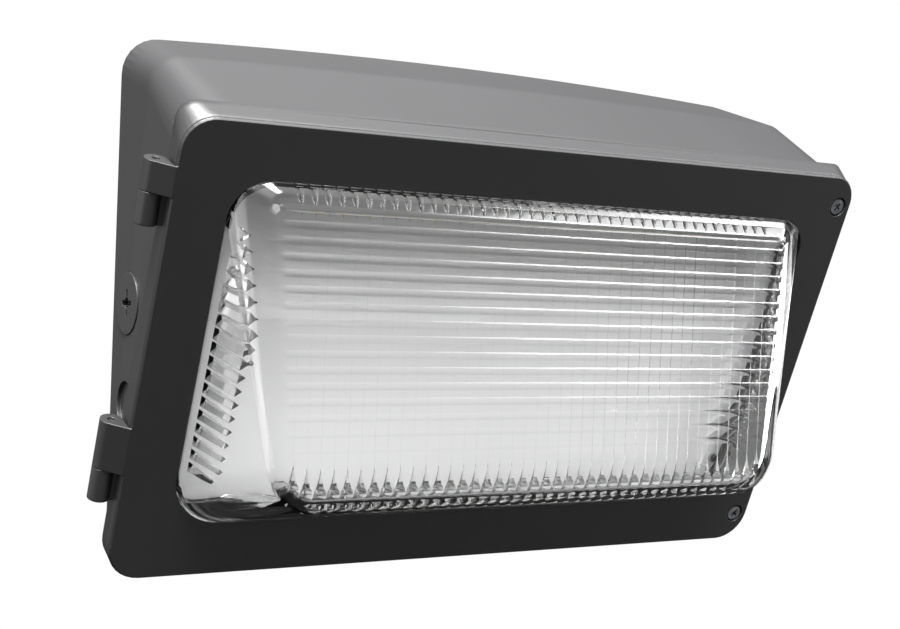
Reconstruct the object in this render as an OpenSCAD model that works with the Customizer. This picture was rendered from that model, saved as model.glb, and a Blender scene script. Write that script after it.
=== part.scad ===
// Wall pack light. A die-cast housing is screwed to a wall and carries a leaning, side-hinged
// door. The door holds a moulded prismatic glass over a white liner, behind which are the light
// source on its heat shelf, the driver and the terminals.
// The wall is the plane y = 0 and +Y goes into it. +X is to the right of someone who faces the
// light, +Z is up, and the origin is the centre of the four wall screws. Sizes are millimetres.
// Door pieces are drawn on the door's own axes: x across, y inwards from its front face, z up
// along its slope.

/* [Door] */
// Width of the door and of the rim that it closes on
door_w = 361; // [340:1:380]
// Height of the door along its slope
door_h = 211; // [200:1:222]
// Lean of the door, whose lower edge is nearest the wall, in degrees
door_lean = 22; // [20:0.5:24]
// Height of the wall screws' centre above the centre of the door's front face
door_drop = 26; // [22:1:30]
// Radius of the door's upper corners
door_r_top = 14; // [10:1:18]
// Radius of the door's lower corners
door_r_bottom = 16; // [12:1:20]
// Thickness of the lip that covers the rim
door_lip_t = 1.5; // [1.2:0.1:2]
// Thickness of the whole door plate
door_t = 4.5; // [4.2:0.1:5.2]
// Flat that breaks the front edge
door_chamfer = 0.8; // [0.4:0.1:1]
// Step from the door's edge in to the thick plate
door_plate_inset = 6; // [5:0.5:7]

/* [Window] */
// Width of the door's frame at each side of the window
window_side = 24.5; // [22:0.1:28]
// Mean width of the door's frame above and below the window
window_end = 25.65; // [25.5:0.05:28]
// Height of the window's centre above the door's centre
window_lift = 1.35; // [0.5:0.05:2]
// Radius of the window's upper corners
window_r_top = 18; // [14:1:22]
// Radius of the window's lower corners
window_r_bottom = 23; // [18:1:28]

/* [Housing] */
// Depth of the rim, from the door's front face to its back edge
rim_depth = 12.5; // [11:0.5:14]
// Rise of the rim's top face over its depth
rim_flare = 3.2; // [1:0.1:4]
// Radius of the rim's upper corners at its back edge
rim_back_r = 8; // [6:0.5:16]
// Draft of the rim's sides over its depth
rim_draft = 0.5; // [0:0.1:1.5]
// Thickness of the rim's lip round the door plate
rim_lip_t = 2; // [1.6:0.1:2.6]
// Step from the rim's back edge in to the hood
hood_step = 2.5; // [1:0.1:4]
// Length of the hood's straight land behind the rim
hood_land = 0.5; // [0.3:0.1:1]
// Corner radius of the hood where it leaves the rim
hood_r = 20; // [16:1:24]
// Crown of the hood's top where it leaves the rim
hood_crown = 0.8; // [0:0.1:3]
// Distance that the hood's sides draw in from the door's edge to the wall
wall_draw_in = 4.3; // [2:0.1:8]
// Fullness of the hood's top halfway back, over a straight run from rim to wall
hood_full = 5; // [2:0.5:7]
// Corner radius of the hood halfway back
hood_mid_r = 14; // [11:1:20]
// Rise of the hood's top from the door's top edge to its corners at the wall
wall_rise = 42; // [34:1:48]
// Crown of the hood's top at the wall
wall_crown = 4; // [1:0.5:8]
// Radius of the hood's upper corners at the wall
wall_r_top = 17; // [12:1:24]
// Radius of the hood's lower corners at the wall
wall_r_bottom = 22; // [16:1:28]
// Gap between the rim's lowest back edge and the wall
foot_gap = 0.9; // [0.4:0.1:2]
// Thickness of the hood's walls
hood_t = 3; // [2.4:0.1:3.6]
// Thickness of the back plate
back_t = 3.5; // [3:0.1:4.5]
// Depth of the recess in the back of the back plate
back_recess = 1.2; // [0.6:0.1:1.6]
// Width of the flat border round that recess
back_border = 12; // [8:1:16]
// Thickness of the ledge that the door seal meets
ledge_t = 3; // [2.4:0.1:3.6]

/* [Hinges] */
// Radius of the hinge barrels
barrel_r = 4.8; // [4.2:0.1:5.2]
// Distance from the door's edge out to the hinge axis
axis_out = 5.5; // [5.3:0.1:6.5]
// Depth of the hinge axis behind the door's front face
axis_depth = 9.5; // [8.5:0.5:10.5]
// Radius of the hinge pins
pin_r = 1.6; // [1.2:0.1:2]
// Distance from the door's top edge down to the upper hinge's joint line
upper_split_in = 34.5; // [30:0.5:42]
// Length of the upper knuckle on the door
upper_knuckle_l = 13.2; // [10:0.1:15]
// Distance from the front of a barrel back to the front of its web
barrel_web_in = 2.6; // [2:0.1:3.2]
// Length of the upper barrel on the housing
upper_barrel_l = 14; // [10:1:18]
// Distance from the door's bottom edge up to the lower hinge's joint line
lower_split_in = 52; // [48:0.5:58]
// Length of the lower knuckle on the door
lower_knuckle_l = 22.3; // [16:0.1:26]
// Length of the lower barrel on the housing
lower_barrel_l = 15.3; // [12:0.1:20]
// Distance from each end of a hinge to the end of its pin
pin_end_in = 1.2; // [0.5:0.1:2]

/* [Door screws] */
// Distance from the door's free edge in to its screws
screw_in = 8.5; // [8.3:0.1:9.5]
// Distance from the door's top and bottom edges in to the screws
screw_end_in = 15.8; // [14.5:0.1:17]
// Radius of the screw recesses
recess_r = 5; // [4.6:0.1:5.2]
// Depth of the screw recesses
recess_depth = 2.6; // [2.2:0.1:2.8]
// Radius of the screw heads
head_r = 4; // [3.4:0.1:4.2]
// Height of the screw heads
head_h = 2.2; // [1.6:0.1:2.4]
// Radius of the plain shank below the head
shank_r = 1.8; // [1.5:0.1:1.9]
// Radius of the threaded end
thread_r = 2.4; // [2.2:0.1:2.8]
// Length of the threaded end
thread_l = 4.5; // [3.5:0.5:4.5]
// Distance that each screw slides out
screw_travel = 5; // [4:0.5:5]
// Radius of the screw bosses in the housing
boss_r = 5.3; // [4.8:0.1:5.4]
// Depth of the screw bosses behind the ledge's front
boss_l = 12; // [11.5:0.5:13]
// Radius of the push-on retainers
retainer_r = 3.9; // [3.2:0.1:4.2]
// Thickness of the push-on retainers
retainer_t = 0.8; // [0.5:0.1:1.2]
// Width of the cross slots
cross_w = 1.1; // [0.8:0.1:1.4]
// Length of the cross slots
cross_l = 4.4; // [3.6:0.1:5]
// Depth of the cross slots
cross_depth = 1.3; // [0.8:0.1:1.4]

/* [Refractor] */
// Distance from the wall to the front of the glass
glass_front = 86; // [80:1:90]
// Thickness of the glass
glass_t = 4; // [3.4:0.1:4.4]
// Drop from the window's top edge to the front's top edge
glass_drop = 3.5; // [3:0.1:7]
// Rise from the window's bottom edge to the front's bottom edge
glass_rise = 11.2; // [7:0.1:16]
// Draw of the front's upper corners in from the window's sides
glass_draw_top = 10.7; // [8:0.1:14]
// Draw of the front's lower corners in from the window's sides
glass_draw_bottom = 17; // [14:0.1:20]
// Radius of the front's upper corners
glass_r_top = 10; // [9:0.5:14]
// Radius of the front's lower corners
glass_r_bottom = 24; // [18:1:28]
// Radius of the edge between the front and the sides
glass_edge_r = 7; // [5:0.5:8]
// Clearance between the glass and the window
glass_gap = 0.3; // [0.2:0.1:0.6]
// Width of the flange past the window's edge
glass_flange = 3.8; // [3:0.1:3.9]
// Thickness of the flange
glass_flange_t = 4; // [3:0.1:4.5]

/* [Ribs and flutes] */
// Number of ribs across the front
rib_count = 16; // [12:1:18]
// Distance between ribs
rib_pitch = 6.6; // [5.6:0.1:6.8]
// Distance from the front's top edge down to the first rib
rib_start = 6.8; // [5:0.1:9]
// Distance from the front's side edge in to the ribs' ends
rib_end_in = 8.6; // [7:0.1:12]
// Width of a rib
rib_w = 3.2; // [2.4:0.1:4]
// Height of a rib
rib_h = 0.62; // [0.4:0.02:0.8]
// Distance between flutes
flute_pitch = 6.3; // [5.8:0.1:8]
// Height of the flutes on the glass's floor
flute_h = 2.4; // [1.6:0.1:3]
// Height of the flutes' thin run up the front
flute_low = 0.3; // [0.2:0.05:0.5]
// Height of the flutes along the glass's top
flute_top = 0.8; // [0.4:0.1:1.2]
// Length over which a flute fades out above the lower corner
flute_fade = 12; // [8:1:16]
// Height of the flutes on the glass's sides
side_flute_h = 2.2; // [1.4:0.1:2.6]
// Length of the flutes on the sides
side_flute_l = 17; // [12:1:20]
// Distance from the door's face to the side flutes
side_flute_in = 4; // [3:0.5:6]

/* [Seals and clips] */
// Width of the door seal
seal_w = 3.6; // [3:0.1:3.8]
// Distance from the window's side edge out to the door seal
seal_out = 6.1; // [5.9:0.1:6.3]
// Distance from the door's top and bottom edges in to the door seal
seal_in = 7.5; // [7:0.1:8]
// Depth of the groove that holds the door seal
seal_groove = 1.5; // [1:0.1:1.8]
// Distance that the door seal stands out of its groove
seal_proud = 1.5; // [1:0.1:2]
// Outer corner radius of the door seal
seal_r = 12; // [9:1:15]
// Thickness of the gasket between glass and door
gasket_t = 1; // [0.6:0.1:1.2]
// Radius of the clip posts
post_r = 3.2; // [2.8:0.1:3.3]
// Distance between clip posts along the door
post_pitch = 110; // [90:1:120]
// Width of a glass clip
clip_w = 14; // [10:1:18]
// Thickness of a glass clip
clip_t = 1.2; // [0.8:0.1:1.5]
// Overlap of a clip on the flange
clip_bite = 3; // [2:0.1:3.4]
// Radius of the small screws' shanks
small_r = 1.5; // [1.2:0.1:1.6]
// Radius of the small screws' heads
small_head_r = 2.6; // [2.2:0.1:2.8]
// Height of the small screws' heads
small_head_h = 1.6; // [1.2:0.1:1.8]
// Length of the small screws' shanks in what they hold
small_l = 4.5; // [3:0.5:5]

/* [Wall mounting] */
// Distance across between the wall screws
wall_screw_x = 300; // [280:1:310]
// Distance up between the wall screws
wall_screw_z = 180; // [160:1:184]
// Radius of the wall screw holes
wall_screw_r = 3.25; // [2.6:0.05:4]
// Distance between the junction box screws
box_screw_x = 88.9; // [82:0.1:92]
// Radius of the junction box screw holes
box_screw_r = 2.6; // [2:0.1:3]
// Radius of the conduit entries' threads
entry_r = 12.6; // [10:0.1:13]
// Wall round an entry
entry_wall = 5; // [4:0.5:6]
// Depth of the rear entry from the wall
entry_l = 14; // [10:1:18]

/* [Side entries] */
// Distance from the wall to the side entries
side_entry_out = 22; // [21:0.5:24]
// Height of the side entries below the origin
side_entry_drop = 2.9; // [0:0.1:8]
// Radius of the plugs
plug_r = 13.7; // [12:0.1:14]
// Distance of the plugs' faces outside the hood's edge at the wall
plug_proud = 1.8; // [1:0.1:2.4]
// Length of the plugs
plug_l = 11; // [8:1:13]
// Depth of the side entries from the outside
side_entry_l = 14; // [12:1:16]
// Length of the slots in a plug
plug_slot_l = 11.4; // [9:0.1:14]
// Width of the slots in a plug
plug_slot_w = 2; // [1.4:0.1:3]
// Depth of the slots in a plug
plug_slot_depth = 3; // [2:0.1:5]
// Radius of the sensor knockout
knockout_r = 9.7; // [8:0.1:11]
// Depth of the sensor knockout
knockout_depth = 0.6; // [0.4:0.1:1.2]
// Height of the sensor knockout below the origin
knockout_drop = 46; // [42:1:50]

/* [Liner] */
// Distance from the window's sides in to the liner's bowl
liner_in = 8; // [6:0.5:14]
// Distance from the door's top and bottom edges in to the liner's mouth
liner_end_in = 19.5; // [18.5:0.5:22]
// Width of the liner's flange at the sides
liner_side_flange = 10; // [8:0.5:11]
// Width of the liner's flange at top and bottom
liner_end_flange = 5.5; // [4:0.5:6]
// Depth of the liner's flange behind the door's front face
liner_depth = 14; // [13.5:0.5:16]
// Thickness of the liner's sheet
liner_t = 1.2; // [0.8:0.1:1.5]
// Distance from the wall to the liner's back
liner_back = 36.4; // [36:0.2:40]
// Radius of the bend above the liner's back
liner_bend = 8; // [5:1:10]
// Height of the liner's fold below the origin
liner_fold = 8; // [4:1:16]
// Distance from the door's top and bottom edges in to the liner's posts
liner_post_in = 45.5; // [40:0.5:52]
// Radius of the liner's posts
liner_post_r = 4; // [3.4:0.1:4.5]

/* [Light source] */
// Length of the heat shelf
shelf_w = 250; // [240:1:280]
// Thickness of the heat shelf
shelf_t = 3; // [2.5:0.1:4]
// Height of the shelf's upright leg
shelf_leg = 30; // [24:1:32]
// Distance from the wall to the shelf's front edge
shelf_out = 68; // [66:1:69]
// Distance from the shelf's ends to the board
shelf_end = 7; // [4:0.5:12]
// Depth of the board
board_d = 42; // [38:1:44]
// Distance from the wall to the board's front edge
board_out = 66; // [64:0.5:67]
// Thickness of the board
board_t = 1.6; // [1:0.1:2]
// Number of light packages in a row
led_count = 18; // [12:1:22]
// Distance from the board's ends to the first packages
board_end = 14.3; // [10:0.1:18]
// Distance between the two rows
led_row_gap = 9; // [8:0.5:10]
// Distance from the last packages to the end of the liner's opening for them
led_margin = 9.8; // [4:0.1:10]
// Number of packages from one board screw to the next
board_screw_count = 8; // [6:1:8]
// Side of a light package
led_side = 3; // [2:0.1:3.5]
// Height of a light package
led_h = 0.7; // [0.4:0.1:1]
// Side of the board's connector along the board
connector_w = 12; // [8:1:16]
// Depth of the connector
connector_d = 7; // [5:0.5:8]
// Height of the connector
connector_h = 5; // [4:0.5:6]

/* [Driver] */
// Length of the driver's case
driver_w = 150; // [130:1:160]
// Height of the driver's case
driver_h = 32; // [28:1:33]
// Depth of the driver's case
driver_d = 25; // [20:1:26]
// Height of the driver's lower edge above the origin
driver_low = 20; // [19:1:22]
// Wall of the driver's case
driver_wall = 1.2; // [1:0.1:2]
// Thickness of the driver's end caps
cap_t = 3; // [2:0.5:4]
// Length of the driver's mounting ears
ear_l = 12; // [10:1:14]
// Thickness of the mounting ears
ear_t = 1.5; // [1:0.1:2]

/* [Terminals and leads] */
// Height of the pads on the back plate
pad_h = 4; // [3:0.5:5]
// Radius of the pads on the back plate
pad_r = 4.5; // [4:0.1:5]
// Length of the terminal block
block_w = 32; // [26:1:36]
// Height of the terminal block
block_h = 16; // [12:1:17]
// Depth of the terminal block
block_d = 18; // [14:1:20]
// Distance from the driver's end to the terminal block's centre
input_run = 30; // [26:1:34]
// Distance from the driver's other end to the leads that rise to the board
output_run = 19.7; // [14:0.1:24]
// Distance between wires in the block
pole_pitch = 9; // [8:0.5:10]
// Radius of the leads
lead_r = 1.3; // [1:0.1:1.5]
// Radius of the leads' bends
lead_bend = 7; // [6:0.5:8]
// Distance between the leads
lead_gap = 4.5; // [3.5:0.5:6]
// Radius of the ground screw's head
ground_r = 4; // [3:0.1:5]

/* [Fits] */
// Gap between the closed door and the housing
door_gap = 0.3; // [0.2:0.05:0.4]
// Clearance of the hinge pins in the door's knuckles
pin_gap = 0.05; // [0.03:0.01:0.08]
// Clearance of a door screw's shank in its retainer
shank_gap = 0.1; // [0.05:0.01:0.15]
// Clearance of a door screw in its boss
thread_gap = 0.4; // [0.35:0.05:0.5]
// Clearance round the plugs, packages and inserts
fit_gap = 0.15; // [0.1:0.05:0.2]
// Air gap between neighbours that don't touch
air = 0.6; // [0.5:0.1:0.8]

/* [Hidden] */

$fn = 64;
hull_fn = 32;
corner_steps = 7;
crown_steps = 12;
edge_steps = 4;

cast_grey = [0.30, 0.30, 0.31];
cast_black = [0.16, 0.16, 0.17];
steel = [0.72, 0.72, 0.74];
rubber_black = [0.08, 0.08, 0.08];
clear_glass = [0.82, 0.88, 0.90, 0.45];
liner_white = [0.93, 0.93, 0.92];
bare_aluminium = [0.80, 0.81, 0.82];
board_white = [0.88, 0.90, 0.88];
led_yellow = [0.95, 0.80, 0.25];
nylon = [0.90, 0.88, 0.80];
brass_green = [0.15, 0.45, 0.22];

// Overrun of a cut past the face that it opens, and the thickness of a hull's end sections
over = 0.5;
sliver = 0.05;

// Place of the door, whose lowest rim edge clears the wall by foot_gap
door_half_w = door_w / 2;
door_half_h = door_h / 2;
door_stand_off = door_half_h * sin(door_lean) + rim_depth * cos(door_lean) + foot_gap;
function door_y(depth, up) = -door_stand_off + depth * cos(door_lean) - up * sin(door_lean);
function door_z(depth, up) = -door_drop + depth * sin(door_lean) + up * cos(door_lean);
// Depth on the door's axes of a point whose distance from the wall is out and whose height is up
function depth_at(out, up) = (up * sin(door_lean) + door_stand_off - out) / cos(door_lean);

rim_front = door_lip_t + door_gap;
ledge_front = door_t + seal_proud + door_gap;
ledge_back = ledge_front + ledge_t;
plate_half_w = door_half_w - door_plate_inset;
plate_half_h = door_half_h - door_plate_inset;

window_half = door_half_w - window_side;
window_lo = window_lift - door_half_h + window_end;
window_hi = window_lift + door_half_h - window_end;
rebate_lap = glass_flange + glass_gap;
rebate_front = door_t - door_lip_t;
flange_front = rebate_front + gasket_t;
flange_back = flange_front + glass_flange_t;

seal_half_w = window_half + seal_out + seal_w;
seal_half_h = door_half_h - seal_in;
ledge_half_w = seal_half_w - seal_w - 2 * air;
ledge_half_h = seal_half_h - seal_w - door_gap;

hood_half_w = door_half_w - rim_draft - hood_step;
hood_lo = -door_half_h + hood_step;
hood_hi = door_half_h + rim_flare;
wall_half_w = door_half_w - wall_draw_in;
wall_lo = door_z(rim_depth, hood_lo) - foot_gap;
wall_hi = door_z(0, door_half_h) + wall_rise;
recess_half_w = wall_half_w - back_border;

axis_x = -door_half_w - axis_out;
hinge_splits = [door_half_h - upper_split_in, lower_split_in - door_half_h];
knuckle_ls = [upper_knuckle_l, lower_knuckle_l];
barrel_ls = [upper_barrel_l, lower_barrel_l];

screw_x = door_half_w - screw_in;
screw_up = door_half_h - screw_end_in;
head_front = recess_depth - head_h;
thread_start = door_t + retainer_t + screw_travel;
thread_end = thread_start + thread_l;
recess_pad_r = screw_in - rim_lip_t - door_gap;

// Glass form, on the wall's axes
glass_hi = window_hi * cos(door_lean) - glass_drop - door_drop;
glass_lo = window_lo * cos(door_lean) + glass_rise - door_drop;
glass_half_top = window_half - glass_draw_top;
glass_half_bottom = window_half - glass_draw_bottom;
root_half = window_half - glass_gap;
root_lo = window_lo + glass_gap;
root_hi = window_hi - glass_gap;
side_rise_share = 0.5;
corner_least_share = 0.25;
corner_lift_share = 0.5;

// Widths at which a rib's dome is drawn, in shares of its whole width
dome_shares = [0.2, 0.55, 0.85];
// Half base of a flute, in shares of the pitch: on the floor, half faded, on the front, at the top
flute_base_shares = [0.49, 0.2, 0.05, 0.25];
// Height of a flute where it starts to fade and where it is half faded, in shares of its height
fade_start_share = 0.75;
fade_half_share = 0.4;

post_up = seal_half_h - seal_w - air - post_r;
post_sides = [-1, 1];
post_places = [-1, 0, 1];

liner_half = window_half - liner_in;
liner_up = door_half_h - liner_end_in;
liner_post_x = liner_half + liner_t + air + liner_post_r;
liner_post_up = door_half_h - liner_post_in;
liner_hi = door_z(liner_depth, liner_up);
shelf_z = liner_hi + liner_t + fit_gap + board_t;
board_low = shelf_z - board_t;
window_rows_y = -board_out + led_row_gap;
board_w = shelf_w - 2 * shelf_end;
led_first_x = board_end - board_w / 2;
led_pitch = -2 * led_first_x / (led_count - 1);
liner_window_half_d = led_row_gap / 2 + led_side + fit_gap;
liner_window_half_w = led_side / 2 + led_margin - led_first_x;

pad_top = back_t + pad_h;
driver_y = -pad_top - driver_d;
driver_mid = driver_low + driver_h / 2;
connector_x = board_w / 2 - board_end - connector_w / 2;
driver_x = connector_x - output_run - cap_t - driver_w / 2;
block_x = driver_x - driver_w / 2 - cap_t - input_run;
connector_y = -board_out + board_d - connector_d - fit_gap;
block_low = driver_low - driver_h / 2;

module at_door() {
    translate([0, -door_stand_off, -door_drop]) rotate([door_lean, 0, 0]) children();
}

// Extrudes an outline in x and z from depth y0 to depth y1
module slab(y0, y1) {
    translate([0, y1, 0]) rotate([90, 0, 0]) linear_extrude(y1 - y0) children();
}

// Cylinder along y from y0 to y1
module rod_y(r, y0, y1) {
    translate([0, y0, 0]) rotate([-90, 0, 0]) cylinder(r = r, h = y1 - y0);
}

// Outline with rounded corners, half_w each side of the middle, from lo up to hi
module outline(half_w, lo, hi, r_lo, r_hi) {
    polygon([[-half_w + r_lo, lo], [half_w - r_lo, lo], [half_w, lo + r_lo], [half_w, hi - r_hi],
             [half_w - r_hi, hi], [-half_w + r_hi, hi], [-half_w, hi - r_hi], [-half_w, lo + r_lo]]);
    for (side = [-1, 1]) {
        translate([side * (half_w - r_lo), lo + r_lo]) circle(r_lo);
        translate([side * (half_w - r_hi), hi - r_hi]) circle(r_hi);
    }
}

function arc_points(cx, cz, r, a0, a1) = [for (i = [0:corner_steps])
    let (a = a0 + (a1 - a0) * i / corner_steps) [cx + r * cos(a), cz + r * sin(a)]];

// Outline whose top edge is crowned between its corners
module crowned_outline(half_w, lo, hi, r_lo, r_hi, crown) {
    flat = half_w - r_hi;
    polygon(concat(
        arc_points(half_w - r_lo, lo + r_lo, r_lo, -90, 0),
        arc_points(flat, hi - r_hi, r_hi, 0, 90),
        [for (i = [1:crown_steps - 1]) let (s = 1 - 2 * i / crown_steps)
            [flat * s, hi + crown * (1 - s * s)]],
        arc_points(-flat, hi - r_hi, r_hi, 90, 180),
        arc_points(-half_w + r_lo, lo + r_lo, r_lo, 180, 270)));
}

// Frame-shaped outline: an outline with a smaller one cut from it
module ring(half_w, lo, hi, r_lo, r_hi, w) {
    difference() {
        outline(half_w, lo, hi, r_lo, r_hi);
        outline(half_w - w, lo + w, hi - w, r_lo - w, r_hi - w);
    }
}

// Pan head with a cross slot and its shank, along y from the head's front at y = 0
module pan_screw(r, h, shank, l) {
    difference() {
        union() {
            rod_y(r, 0, h);
            rod_y(shank, 0, h + l);
        }
        cross(r * cross_l / (2 * head_r), cross_w * r / head_r, h * cross_depth / head_h);
    }
}

module cross(reach, w, deep) {
    for (turn = [0, 90]) rotate([0, turn, 0])
        translate([-reach, -over, -w / 2]) cube([2 * reach, deep + over, w]);
}

module door_outline(inset) {
    outline(door_half_w - inset, -door_half_h + inset, door_half_h - inset,
            door_r_bottom - inset, door_r_top - inset);
}

module window_outline(grow) {
    outline(window_half + grow, window_lo - grow, window_hi + grow,
            window_r_bottom + grow, window_r_top + grow);
}

module hood_outline(inset) {
    crowned_outline(hood_half_w - inset, hood_lo + inset, hood_hi - hood_crown - inset,
                    hood_r - inset, hood_r - inset, hood_crown);
}

module wall_outline(inset) {
    crowned_outline(wall_half_w - inset, wall_lo + inset, wall_hi - inset,
                    wall_r_bottom - inset, wall_r_top - inset, wall_crown);
}

// Section halfway between the rim's back edge and the wall
module middle_section(inset) {
    top = [(door_y(rim_depth, hood_hi)) / 2, (door_z(rim_depth, hood_hi) + wall_hi + wall_crown) / 2];
    low = [(door_y(rim_depth, hood_lo)) / 2, (door_z(rim_depth, hood_lo) + wall_lo) / 2];
    half = norm(top - low) / 2;
    crown = (hood_crown + wall_crown) / 2;
    translate([0, (top[0] + low[0]) / 2, (top[1] + low[1]) / 2])
        rotate([atan2(low[0] - top[0], top[1] - low[1]), 0, 0]) slab(-sliver, 0)
            crowned_outline((hood_half_w + wall_half_w) / 2 + hood_step / 4 - inset, -half + inset,
                            half + hood_full - crown - inset, hood_r - inset, hood_mid_r - inset, crown);
}

module rim_form() {
    at_door() hull() {
        slab(rim_front, rim_front + sliver) door_outline(0, $fn = hull_fn);
        slab(rim_depth - sliver, rim_depth)
            outline(door_half_w - rim_draft, -door_half_h, door_half_h + rim_flare,
                    door_r_bottom, rim_back_r, $fn = hull_fn);
    }
}

module hood_form() {
    hull() {
        at_door() slab(rim_depth - rim_lip_t, rim_depth + hood_land) hood_outline(0);
        middle_section(0);
        slab(-sliver, 0) wall_outline(0);
    }
}

module hood_cavity() {
    hull() {
        at_door() slab(ledge_back, ledge_back + sliver) hood_outline(hood_t);
        middle_section(hood_t);
        slab(-back_t - sliver, -back_t) wall_outline(hood_t);
    }
}

module at_posts() {
    for (side = [-1, 1], end = [-1, 1])
        translate([side * liner_post_x, 0, end * liner_post_up]) children();
}

// Post from the liner's flange to the middle of the back plate
module liner_posts() {
    post_front = liner_depth + liner_t;
    rib_l = hood_half_w - hood_t / 2 - liner_post_x;
    at_door() for (end = [-1, 1]) {
        reach = (-back_t / 2 - door_y(post_front, end * liner_post_up)) / cos(door_lean);
        for (side = [-1, 1]) {
            translate([side * liner_post_x, 0, end * liner_post_up]) {
                rod_y(liner_post_r, post_front, post_front + reach);
                translate([side > 0 ? 0 : -rib_l, post_front + over, -hood_t / 2])
                    cube([rib_l, min(reach, rib_l) - over, hood_t]);
            }
        }
    }
}

module at_wall_screws() {
    for (side = [-1, 1], end = [-1, 1])
        translate([side * wall_screw_x / 2, 0, end * wall_screw_z / 2]) children();
}

module at_box_screws() {
    for (side = [-1, 1]) translate([side * box_screw_x / 2, 0, 0]) children();
}

module at_shelf_screws() {
    for (place = [-1, 0, 1])
        translate([place * (shelf_w / 2 - shelf_leg), 0, shelf_z + shelf_t + shelf_leg / 2]) children();
}

module at_driver_screws() {
    for (side = [-1, 1])
        translate([driver_x + side * (driver_w / 2 + cap_t + ear_l / 2), 0, driver_mid]) children();
}

module at_block_screws() {
    for (side = [-1, 1])
        translate([block_x + side * (block_w / 2 - pad_r), 0, block_low + block_h / 2]) children();
}

module at_ground() {
    translate([-box_screw_x, 0, -driver_low]) children();
}

module at_pads() {
    at_shelf_screws() children();
    at_driver_screws() children();
    at_block_screws() children();
    at_ground() children();
}

module at_side_entries() {
    for (side = [-1, 1])
        translate([side * wall_half_w, -side_entry_out, -side_entry_drop])
            rotate([0, 0, side > 0 ? 0 : 180]) children();
}

// Cylinder along x from x0 to x1
module rod_x(r, x0, x1) {
    translate([x0, 0, 0]) rotate([0, 90, 0]) cylinder(r = r, h = x1 - x0);
}

module housing_barrels() {
    for (i = [0, 1]) translate([0, 0, hinge_splits[i] - barrel_ls[i]])
        difference() {
            union() {
                translate([axis_x, axis_depth, 0]) cylinder(r = barrel_r, h = barrel_ls[i]);
                linear_extrude(barrel_ls[i])
                    polygon([[axis_x, axis_depth], [axis_x, axis_depth - barrel_r + barrel_web_in],
                             [-door_half_w + hood_step, rim_front + door_lip_t + barrel_web_in],
                             [-door_half_w + hood_step, axis_depth]]);
            }
            translate([axis_x, axis_depth, -over]) cylinder(r = pin_r, h = barrel_ls[i] + 2 * over);
        }
}

module back_recess_cut() {
    difference() {
        slab(-back_recess, over)
            crowned_outline(recess_half_w, wall_lo + back_border, wall_hi - back_border,
                            wall_r_bottom - back_border / 2, wall_r_top - back_border / 2, 0);
        at_wall_screws() rod_y(wall_screw_r + entry_wall, -back_t, 2 * over);
        at_box_screws() rod_y(box_screw_r + entry_wall, -back_t, 2 * over);
        rod_y(entry_r + entry_wall, -back_t, 2 * over);
    }
}

module housing() {
    color(cast_grey) difference() {
        union() {
            difference() {
                union() {
                    rim_form();
                    hood_form();
                }
                hood_cavity();
            }
            at_door() {
                housing_barrels();
                for (end = [-1, 1]) translate([screw_x, 0, end * screw_up])
                    rod_y(boss_r, ledge_front, ledge_front + boss_l);
            }
            liner_posts();
            rod_y(entry_r + entry_wall, -entry_l, -back_recess);
            at_side_entries() rod_x(entry_r + entry_wall, -side_entry_l, -back_t / 2);
            translate([-wall_half_w, -side_entry_out, -knockout_drop])
                rod_x(knockout_r + hood_t / 2, hood_t / 2, hood_t + knockout_depth);
            at_pads() rod_y(pad_r, -pad_top, -back_t / 2);
        }
        at_door() {
            slab(rim_front - over, ledge_front)
                outline(door_half_w - rim_lip_t, -door_half_h + rim_lip_t, door_half_h - rim_lip_t,
                        door_r_bottom - rim_lip_t, door_r_top - rim_lip_t);
            slab(ledge_front - over, ledge_back + over)
                outline(ledge_half_w, -ledge_half_h, ledge_half_h, seal_r - seal_w, seal_r - seal_w);
            for (end = [-1, 1]) translate([screw_x, 0, end * screw_up])
                rod_y(thread_r + thread_gap, ledge_front - over, thread_end + air);
            at_posts() rod_y(small_r, liner_depth, liner_depth + liner_t + small_l + air);
        }
        back_recess_cut();
        at_wall_screws() rod_y(wall_screw_r, -back_t - over, over);
        at_box_screws() rod_y(box_screw_r, -back_t - over, over);
        rod_y(entry_r, -entry_l - over, over);
        at_side_entries() rod_x(plug_r, -side_entry_l - over, plug_proud + hood_t);
        translate([-wall_half_w, -side_entry_out, -knockout_drop])
            rod_x(knockout_r, -hood_t, knockout_depth);
        at_pads() rod_y(small_r, -pad_top - over, -pad_top + small_l);
        slab(0, door_half_h) square(2 * door_w, center = true);
    }
}

module conduit_plugs() {
    color(cast_grey) at_side_entries() difference() {
        rod_x(plug_r - fit_gap, plug_proud - plug_l, plug_proud);
        for (turn = [0, 90]) rotate([turn, 0, 0])
            translate([plug_proud - plug_slot_depth, -plug_slot_l / 2, -plug_slot_w / 2])
                cube([plug_slot_depth + over, plug_slot_l, plug_slot_w]);
        translate([plug_proud - plug_slot_depth, -plug_slot_w, -plug_slot_w])
            cube([plug_slot_depth + over, 2 * plug_slot_w, 2 * plug_slot_w]);
    }
}

module hinge_pins() {
    color(steel) at_door() for (i = [0, 1])
        translate([axis_x, axis_depth, hinge_splits[i] - barrel_ls[i] + pin_end_in])
            cylinder(r = pin_r, h = barrel_ls[i] + knuckle_ls[i] - 2 * pin_end_in);
}

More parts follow.
